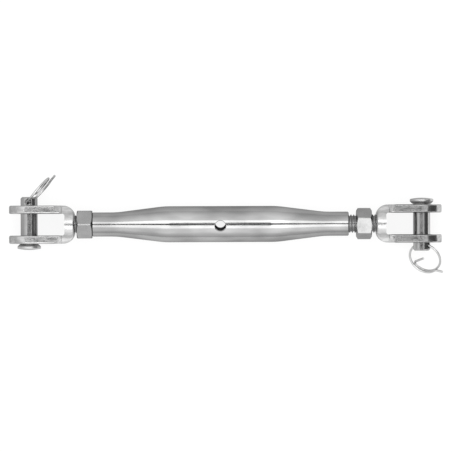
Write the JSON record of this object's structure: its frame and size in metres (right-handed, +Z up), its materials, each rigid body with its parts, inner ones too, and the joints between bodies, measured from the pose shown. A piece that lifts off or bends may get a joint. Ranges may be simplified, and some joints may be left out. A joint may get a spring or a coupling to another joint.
{
  "type": "turnbuckle",
  "caption": "Rigging turnbuckle with a closed swaged barrel, threaded clevis forks, lock nuts, clevis pins and split rings.",
  "frame": {"origin": "on the rod's axis at the middle of the barrel, where the cross hole for a tommy bar passes through", "axes": "+X along the rod towards the fork whose lock nut stands loose, +Y along the clevis pins, +Z up as it lies on a bench"},
  "size_m": [0.2821, 0.065, 0.026],
  "materials": {
    "barrel_steel": "polished stainless, fine lines along the pipe",
    "fork_steel": "polished stainless, lightly scuffed flats",
    "nut_steel": "bright stainless",
    "pin_steel": "turned and polished stainless",
    "ring_steel": "bright drawn wire"
  },
  "bodies": {
    "left_fork": {"left_fork": "fork_steel"},
    "left_lock_nut": {"left_lock_nut": "nut_steel"},
    "barrel": {"barrel": "barrel_steel"},
    "right_fork": {"right_fork": "fork_steel"},
    "right_lock_nut": {"right_lock_nut": "nut_steel"},
    "left_clevis_pin": {"left_clevis_pin": "pin_steel"},
    "left_split_ring": {"left_split_ring": "ring_steel"},
    "right_clevis_pin": {"right_clevis_pin": "pin_steel"},
    "right_split_ring": {"right_split_ring": "ring_steel"}
  },
  "joints": [
    {"name": "barrel_travel", "type": "slide", "parent": "left_fork", "child": "left_lock_nut", "axis": [1, 0, 0], "range_m": [-0.00135, 0.0422]},
    {"name": "barrel_turn", "type": "hinge", "parent": "left_lock_nut", "child": "barrel", "pos_m": [0, 0, 0], "axis": [-1, 0, 0], "range_deg": [-270, 8640]},
    {"name": "right_fork_travel", "type": "slide", "parent": "left_fork", "child": "right_fork", "axis": [1, 0, 0], "range_m": [-0.0027, 0.0844]},
    {"name": "right_nut_travel", "type": "slide", "parent": "right_fork", "child": "right_lock_nut", "axis": [1, 0, 0], "range_m": [-0.0035, 0.0027]},
    {"name": "left_pin_turn", "type": "hinge", "parent": "left_fork", "child": "left_clevis_pin", "pos_m": [-0.12435, 0, 0], "axis": [0, 1, 0], "continuous": true},
    {"name": "right_pin_turn", "type": "hinge", "parent": "right_fork", "child": "right_clevis_pin", "pos_m": [0.13075, 0, 0], "axis": [0, 1, 0], "continuous": true},
    {"name": "left_ring_swing", "type": "hinge", "parent": "left_clevis_pin", "child": "left_split_ring", "pos_m": [-0.12435, 0.0145, 0], "axis": [-0.0698, 0, 0.9976], "range_deg": [-38, 122]},
    {"name": "right_ring_swing", "type": "hinge", "parent": "right_clevis_pin", "child": "right_split_ring", "pos_m": [0.13075, -0.0142, 0], "axis": [0.8755, 0, 0.4833], "range_deg": [-111, 49]}
  ],
  "couplings": [
    {"joint": "barrel_travel", "follows": "barrel_turn", "m_per_rad": 0.00027852},
    {"joint": "right_fork_travel", "follows": "barrel_turn", "m_per_rad": 0.00055704}
  ]
}
